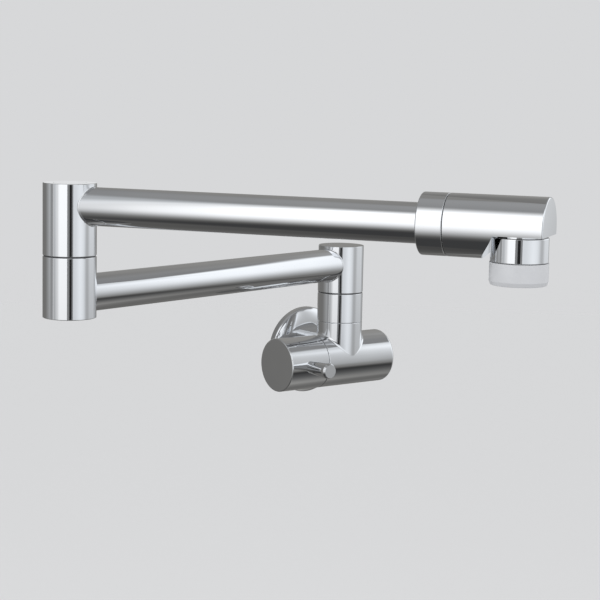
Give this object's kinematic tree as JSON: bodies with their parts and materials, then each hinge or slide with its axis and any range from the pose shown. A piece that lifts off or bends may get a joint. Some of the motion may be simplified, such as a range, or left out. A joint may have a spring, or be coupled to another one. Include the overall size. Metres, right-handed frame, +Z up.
{
  "type": "wall mounted pot filler",
  "caption": "Wall mounted tap with a quarter-turn valve, tubular arms that swivel on upright pivots, and a spout head with a spray and stream outlet.",
  "frame": {"origin": "centre of the wall flange on the wall plane, where the inlet thread enters the wall", "axes": "+X runs along the wall to the right as one faces it, +Y points into the wall, +Z is up"},
  "size_m": [0.2971, 0.3626, 0.1647],
  "materials": {
    "chrome_plate": "polished chrome plating on brass",
    "brass": "machined, unplated",
    "seal_rubber": "smooth moulded rubber",
    "stainless_steel": "stamped or turned stainless steel",
    "slip_plastic": "dark acetal",
    "disc_ceramic": "lapped ceramic",
    "grey_plastic": "light grey moulded plastic, satin",
    "core_plastic": "natural acetal"
  },
  "bodies": {
    "valve": {"valve_body": "chrome_plate", "wall_flange": "chrome_plate", "flange_ring": "seal_rubber", "inlet_nipple": "brass", "inlet_strainer": "stainless_steel", "inlet_washer": "seal_rubber", "cartridge_body": "brass", "cartridge_fixed_disc": "disc_ceramic", "cartridge_seal": "seal_rubber", "riser_collar": "chrome_plate", "riser_pivot": "brass", "riser_seals": "seal_rubber", "riser_washer": "slip_plastic", "riser_clip": "stainless_steel"},
    "handle": {"handle_cap": "chrome_plate", "handle_lever": "chrome_plate", "handle_grub_screw": "stainless_steel", "spindle": "brass", "spindle_seal": "seal_rubber", "cartridge_turning_disc": "disc_ceramic"},
    "lower_arm": {"riser_hub": "chrome_plate", "riser_cap": "chrome_plate", "lower_tube": "chrome_plate", "elbow_lower_hub": "chrome_plate", "elbow_pivot": "brass", "elbow_seals": "seal_rubber", "elbow_washer": "slip_plastic", "elbow_clip": "stainless_steel"},
    "upper_arm": {"elbow_upper_hub": "chrome_plate", "elbow_cap": "chrome_plate", "upper_tube": "chrome_plate", "spout_sleeve": "chrome_plate", "sleeve_grub_screw": "stainless_steel", "spout_adapter": "brass", "adapter_seal": "seal_rubber", "spout_head": "chrome_plate", "outlet_housing": "chrome_plate", "housing_seal": "seal_rubber", "outlet_screen": "stainless_steel", "diverter": "core_plastic"},
    "selector": {"selector_ring": "grey_plastic", "nozzle_plate": "grey_plastic"}
  },
  "joints": [
    {"name": "handle_turn", "type": "hinge", "parent": "valve", "child": "handle", "pos_m": [-0.04355, -0.0483, 0], "axis": [1, 0, 0], "range_deg": [0, 90]},
    {"name": "riser_swivel", "type": "hinge", "parent": "valve", "child": "lower_arm", "pos_m": [-0.0075, -0.0503, 0.0668], "axis": [0, 0, 1], "range_deg": [-12.7, 167.3]},
    {"name": "elbow_swivel", "type": "hinge", "parent": "lower_arm", "child": "upper_arm", "pos_m": [-0.25138, -0.10526, 0.0887], "axis": [0, 0, 1], "continuous": true},
    {"name": "selector_twist", "type": "hinge", "parent": "upper_arm", "child": "selector", "pos_m": [-0.11138, -0.32672, 0.094], "axis": [0, 0, 1], "range_deg": [0, 90]}
  ]
}
